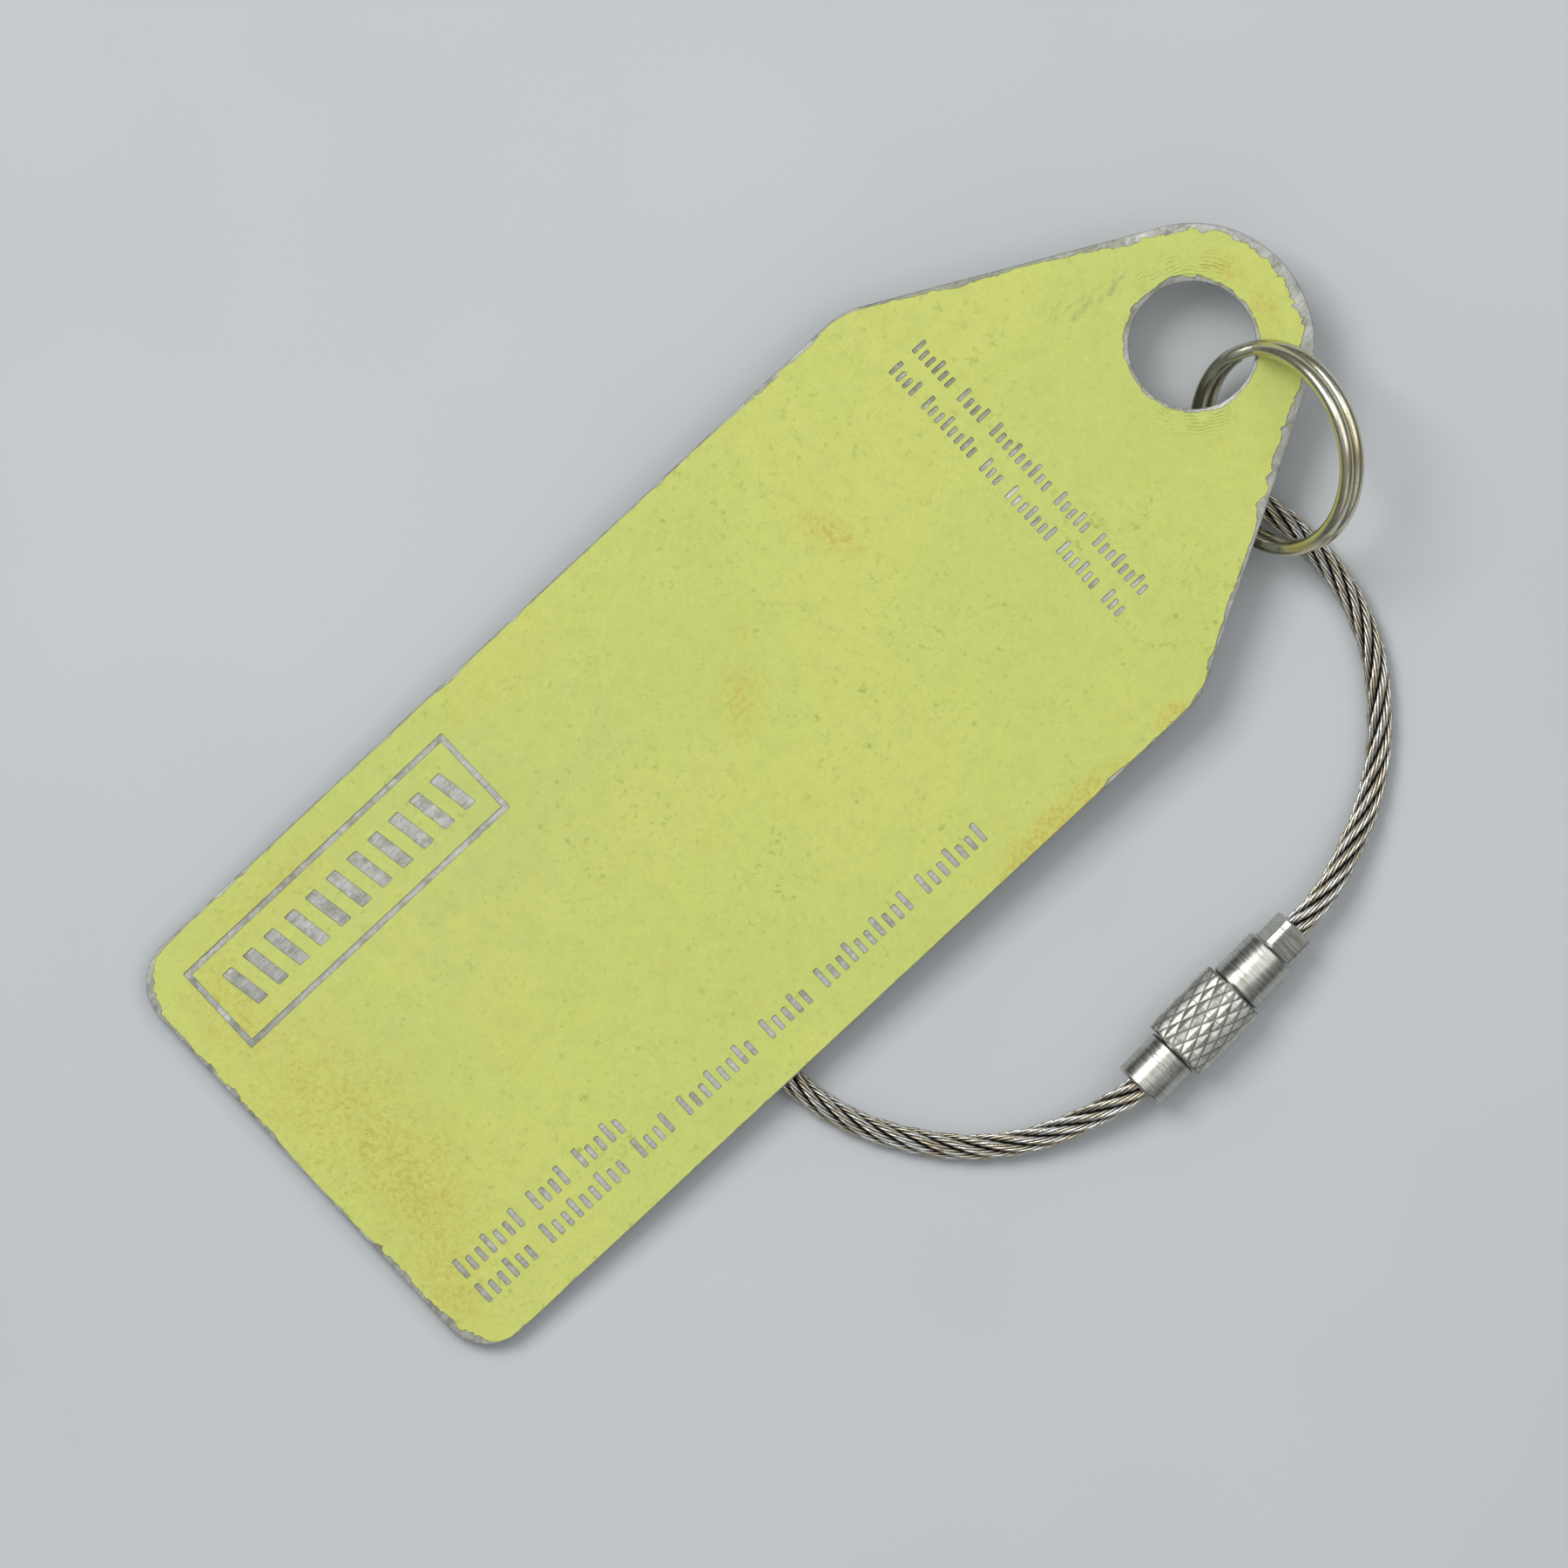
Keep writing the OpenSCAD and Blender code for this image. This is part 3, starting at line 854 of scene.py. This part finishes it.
def without_slivers(faces, edges):
    """Leaves out flat faces that rounding puts on the outside of a straight edge."""
    rim = {frozenset(edge) for edge in edges}
    uses = Counter(side for face in faces for side in sides_of(face))
    return [face for face in faces if all(uses[s] > 1 or s in rim for s in sides_of(face))]


def offset_loop(loop, amount):
    """The loop moved to its left by an amount, corners mitred."""
    count = len(loop)
    moved = []
    for i, here in enumerate(loop):
        ahead = (loop[(i + 1) % count] - here).normalized()
        behind = (here - loop[i - 1]).normalized()
        left = Vector((-(ahead.y + behind.y), ahead.x + behind.x))
        left = left.normalized() if left.length > 1e-6 else Vector((-ahead.y, ahead.x))
        fold = max(0.5, left.dot(Vector((-ahead.y, ahead.x))))
        moved.append(here + amount / fold * left)
    return moved


def turns_left(loop):
    """True for a loop that runs counter-clockwise."""
    return sum(a.x * b.y - a.y * b.x for a, b in zip(loop, loop[1:] + loop[:1])) > 0


def plate_point(x, y, z):
    """A point of the plate's own frame, where it lies leaning on the ring and the cable."""
    return Vector((x, y * math.cos(PLATE_TILT) - z * math.sin(PLATE_TILT),
                   PLATE_LIFT + y * math.sin(PLATE_TILT) + z * math.cos(PLATE_TILT)))


class Slab:
    """A flat body on the plate, built from walls round each loop and filled top and bottom.

    Each face has a kind, which is its material's number.
    """

    def __init__(self):
        self.points, self.faces, self.kinds = [], [], []

    def wall(self, rings, kind, outer):
        """A band through rings of (loop, height), which starts at the bottom."""
        start, count = len(self.points), len(rings[0][0])
        for loop, height in rings:
            self.points += [plate_point(p[0], p[1], height) for p in loop]
        for row in range(len(rings) - 1):
            for k in range(count):
                n = (k + 1) % count
                a, b = start + row * count, start + (row + 1) * count
                face = (a + k, a + n, b + n, b + k)
                self.faces.append(face if outer else face[::-1])
                self.kinds.append(kind)

    def lid(self, loops, height, kind, up):
        """A flat face between the loops, facing up or down."""
        points, faces = fill(loops)
        start = len(self.points)
        self.points += [plate_point(p[0], p[1], height) for p in points]
        for a, b, c in faces:
            face = (start + a, start + b, start + c)
            self.faces.append(face if up else face[::-1])
            self.kinds.append(kind)


def merge_doubles(piece):
    """Joins the lids to the walls where their points meet."""
    mesh = bmesh.new()
    mesh.from_mesh(piece.data)
    bmesh.ops.remove_doubles(mesh, verts=mesh.verts, dist=1e-7)
    mesh.to_mesh(piece.data)
    mesh.free()


def rolled_rings(samples, rounding, wave):
    """The sheet's wall as (loop, height): rubbed round at both faces, and slightly wavy."""
    # share of the rounding at each height, from the bottom face up
    levels = [(0.8, 0.0), (0.2, 0.05), (0.0, 0.18), (0.0, 0.68), (0.3, 0.85), (1.0, SHEET_T)]
    rings = []
    for share, height in levels:
        loop = [p - (share * rounding(p) * (1 + 0.35 * rough(*p, 1.5, 10))
                     + wave * (1 + rough(*p, 7, 11))) * n for p, n in samples]
        rings.append((loop, height))
    return rings


def make_sheet(metal):
    """Punched aluminium sheet with rolled-over, slightly uneven edges."""
    step, hole_sides = 0.25, 180
    edge = rolled_rings(outline(step), rolled_over, wave=0.02)
    hole = rolled_rings(ring_samples(HOLE_R, hole_sides), hole_rolled_over, wave=0.01)
    slab = Slab()
    slab.wall(edge, 0, True)
    slab.wall(hole, 0, False)
    slab.lid([edge[0][0], hole[0][0]], 0.0, 0, False)
    slab.lid([edge[-1][0], hole[-1][0]], SHEET_T, 0, True)
    sheet = make_piece("tag_sheet", slab.points, slab.faces, [metal])
    merge_doubles(sheet)
    sharpen(sheet, 40)
    install(sheet, "tag", "tag_plate")


def make_coat():
    """The primer, chipped back from the edges and cut through by the marks."""
    bevel, sunk = 0.03, 0.02
    step, hole_sides = 0.14, 200
    loops = [(moved_in(outline(step), chip_depth), True),
             (moved_in(ring_samples(HOLE_R, hole_sides), hole_chip_depth), False)]
    slab = Slab()
    tops, bottoms = [], []
    for loop, holds_paint in loops + mark_loops():
        if not turns_left(loop):
            loop = loop[::-1]
        top = offset_loop(loop, bevel if holds_paint else -bevel)
        slab.wall([(loop, SHEET_T - sunk), (top, COAT_TOP)], 1, holds_paint)
        bottoms.append(loop)
        tops.append(top)
    slab.lid(tops, COAT_TOP, 0, True)
    slab.lid(bottoms, SHEET_T - sunk, 1, False)
    coat = make_piece("primer_skin", slab.points, slab.faces,
                      [primer_material(), burnt_edge_and_painted_shade_material()], slab.kinds)
    merge_doubles(coat)
    sharpen(coat, 30)
    install(coat, "tag", "primer_coat")


# ---------------------------------------------------------------- split ring

def ease(x):
    """0 up to 1, with a soft start and end."""
    x = min(max(x, 0.0), 1.0)
    return x * x * (3 - 2 * x)


def coil_point(degrees):
    """A point of the wire's centre line, in the ring's own frame. It steps up at the crossing."""
    crossing = (degrees - CROSSING_AT - 360 + CROSSING_SPAN / 2) / CROSSING_SPAN
    angle = math.radians(degrees)
    return Vector((RING_R * math.cos(angle), RING_R * math.sin(angle),
                   COIL_PITCH * (ease(crossing) - 0.5)))


def make_ring():
    """Almost two turns of wire with cut ends, their edges broken."""
    sides, steps, broken = 28, 464, 0.12
    start = CROSSING_AT + CROSSING_SPAN / 2
    span = 720 - CROSSING_SPAN
    place = (Matrix.Translation(RING_AT) @ Matrix.Rotation(RING_HEADING - math.pi / 2, 4, "Z")
             @ Matrix.Rotation(RING_TILT, 4, "X"))
    # degrees along the wire, and share of its radius
    stations = [(0.0, 0.78), (0.0, 0.92), (broken, 1.0)]
    stations += [(k / steps * (span - 1) + 0.5, 1.0) for k in range(1, steps)]
    stations += [(span - broken, 1.0), (span, 0.92), (span, 0.78)]
    points = []
    for turned, share in stations:
        angle = start + turned
        ahead = (coil_point(angle + 0.5) - coil_point(angle - 0.5)).normalized()
        out = Vector((math.cos(math.radians(angle)), math.sin(math.radians(angle)), 0))
        up = ahead.cross(out).normalized()
        out = up.cross(ahead)
        for k in range(sides):
            a = TURN * k / sides
            points.append(place @ (coil_point(angle) + share * WIRE_R
                                   * (math.cos(a) * out + math.sin(a) * up)))
    faces = band_faces(sides, len(stations)) + cap_faces(sides, len(stations))
    ring = make_piece("ring_coil", points, faces, [nickel_material()])
    sharpen(ring, 50)
    install(ring, "ring", "split_ring")


# ---------------------------------------------------------------- clasp

CLASP_PLACE = (Matrix.Translation(CLASP_AT) @ Matrix.Rotation(CLASP_TURN, 4, "Z")
               @ Matrix.Rotation(-math.pi / 2, 4, "X"))


def on_clasp(rows):
    """The points of rows made in the clasp's own frame, placed in the model."""
    return [CLASP_PLACE @ Vector(p) for row in rows for p in row]


def ring_row(radii, height):
    """One row round the clasp's axis, with a radius for each of its points."""
    count = len(radii)
    return [(r * math.cos(TURN * k / count), r * math.sin(TURN * k / count), height)
            for k, r in enumerate(radii)]


def round_rows(profile, count=ROUND_SIDES):
    """A round row for each (radius, height) of a turned profile."""
    return [ring_row([radius] * count, height) for radius, height in profile]


def thread_rows(low, high, pitch=0.5, outer=1.46, depth=0.2):
    """A right-hand V thread that fades out at both ends, on a grid fine enough to carry it."""
    per_turn, fade_in, fade_out = 10, 0.3, 0.2
    total = round((high - low) / pitch * per_turn)
    rows = []
    for i in range(total + 1):
        z = low + (high - low) * i / total
        fade = min(1, (z - low) / fade_in, (high - z) / fade_out)
        phases = [(z / pitch - k / ROUND_SIDES) % 1 for k in range(ROUND_SIDES)]
        rows.append(ring_row([outer - depth + 2 * depth * fade * min(p, 1 - p) for p in phases], z))
    return rows


def crimp_row(height, grow):
    """One section of the pressed shank: a square with clipped corners, rolled about its axis."""
    half, corner, roll = 1.2 + grow, 0.32, math.radians(23)
    row = []
    for k in range(ROUND_SIDES):
        angle = TURN * k / ROUND_SIDES
        c, s = abs(math.cos(angle)), abs(math.sin(angle))
        r = min(half / max(c, s), (2 * half - corner) / (c + s))
        row.append((r * math.cos(angle + roll), r * math.sin(angle + roll), height))
    return row


def make_ferrule(name, rows, steel, body, node):
    """A turned piece, capped at its first row and at the bottom of its bore."""
    faces = band_faces(ROUND_SIDES, len(rows)) + cap_faces(ROUND_SIDES, len(rows))
    piece = make_piece(name, on_clasp(rows), faces, [steel])
    sharpen(piece, 28)
    install(piece, body, node)
    return piece


def make_stud_end(steel):
    """Stud, plain barrel and pressed shank, with the mouth that the rope enters."""
    tip = [(0.9, 6.2), (1.25, 6.2)]
    undercut = [(1.3, 8.64), (1.3, 8.75), (1.62, 8.75)]
    barrel = [(1.76, 8.8), (1.825, 8.9), (1.825, 11.98), (1.79, 12.08), (1.7, 12.13)]
    # the mouth flares, so that it can back off over the rope's first bend
    bore = [(1.03, CLASP_L), (0.99, 14.2), (0.94, 13.8), (0.92, 13.5)]
    bore += [(0.92, CLASP_L - STUD_BORE_L)]
    rows = round_rows(tip) + thread_rows(6.22, 8.6) + round_rows(undercut + barrel)
    rows += [crimp_row(12.3, 0.02), crimp_row(12.5, 0), crimp_row(14.22, 0), crimp_row(CLASP_L, -0.12)]
    return make_ferrule("stud_end", rows + round_rows(bore), steel, "stud", "stud_ferrule")


def make_swivel_end(steel):
    """Barrel with the rope's mouth, then the neck and flange that the nut holds captive."""
    bore = [(0.9, CABLE_IN), (0.9, 0.1), (1.0, 0.0)]
    barrel = [(1.5, 0.0), (1.67, 0.05), (1.75, 0.16), (1.75, 3.06), (1.7, 3.15), (1.6, 3.2)]
    neck = [(1.4, 3.2), (1.4, 4.25)]
    flange = [(1.75, 4.25), (1.85, 4.35), (1.85, 4.95), (1.75, 5.05)]
    rows = round_rows(bore + barrel + neck + flange)
    return make_ferrule("swivel_end", rows, steel, "loop", "swivel_ferrule")


def knurl_radius(u, w):
    """The nut's radius in a field of pointed diamonds, which are 1 across in u and in w."""
    one, other = (u + w) % 1, (u - w) % 1
    return NUT_R - KNURL_DEPTH * (1 - 2 * min(one, 1 - one, other, 1 - other))


def knurl_rows(count, total):
    """The nut's outside, chamfered at both ends."""
    rows = []
    for i in range(total + 1):
        z = NUT_FROM + (NUT_TO - NUT_FROM) * i / total
        chamfer = NUT_R - NUT_CHAMFER + min(z - NUT_FROM, NUT_TO - z)
        rows.append(ring_row([min(knurl_radius(k / DIAMOND_GRID, i / DIAMOND_GRID), chamfer)
                              for k in range(count)], z))
    return rows


def make_nut(steel):
    """Screw sleeve with a diamond knurl outside and the flange's cavity inside."""
    count = KNURL_COLUMNS * DIAMOND_GRID
    total = round((NUT_TO - NUT_FROM) / DIAMOND_L * DIAMOND_GRID)
    thread = [(1.62, NUT_TO), (1.5, NUT_TO - 0.12), (1.5, 5.2)]
    cavity = [(1.95, 5.2), (1.95, 4.15)]
    neck_hole = [(1.45, 4.15), (1.45, 3.4), (1.55, NUT_FROM)]
    rows = knurl_rows(count, total) + round_rows(thread + cavity + neck_hole, count)
    faces = knurl_faces(count, len(rows), total)
    piece = make_piece("knurled_sleeve", on_clasp(rows), faces, [steel], smooth=False)
    # painted shade for the material: how far each point lies below the knurl's crests, full inside the
    # nut
    grime_and_painted_shade = piece.data.attributes.new("grime_and_painted_shade", "FLOAT", "POINT")
    radii = [math.hypot(x, y) for row in rows for x, y, _ in row]
    grime_and_painted_shade.data.foreach_set("value", [min(1, (NUT_R - r) / KNURL_DEPTH) for r in radii])
    install(piece, "nut", "knurled_nut")
    return piece


def knurl_faces(count, rows, knurled):
    """Triangles in a closed tube of rows. Those of the knurl are split along its valleys."""
    faces = []
    for row in range(rows):
        a, b = row * count, (row + 1) % rows * count
        for k in range(count):
            n = (k + 1) % count
            if (k - row) % DIAMOND_GRID == 0 or row >= knurled:
                faces += [(a + k, a + n, b + n), (a + k, b + n, b + k)]
            else:
                faces += [(a + k, a + n, b + k), (a + n, b + n, b + k)]
    return faces


# ---------------------------------------------------------------- floor

def make_floor():
    """Plain pale floor at the height that the tag lies on."""
    reach = 600
    corners = [(-reach, -reach, 0), (reach, -reach, 0), (reach, reach, 0), (-reach, reach, 0)]
    s = Shader("floor_pale", 0.0, 0.7)
    tone = s.span(s.noise(30, 2, seed=40), 0.3, 0.7)
    s.surface_is(Base_Color=s.blend(tone, srgb(198, 202, 204), srgb(202, 206, 208)))
    make_piece("floor", corners, [(0, 1, 2, 3)], [s.material])


# ---------------------------------------------------------------- assembly

random.seed(7)
add_camera()
add_studio()
rope, rope_points, rope_length = make_rope()
barrel_tones = (srgb(166, 166, 155), srgb(204, 205, 198))
knurl_tones = (srgb(196, 196, 186), srgb(226, 226, 218))
steel = turned_material("steel_turned", 28, barrel_tones, roughness=0.26)
stud_end = make_stud_end(steel)
swivel_end = make_swivel_end(steel)
sleeve = make_nut(turned_material("steel_knurled", 32, knurl_tones, roughness=0.38))
make_sheet(aluminium_material())
make_coat()
make_ring()
make_floor()
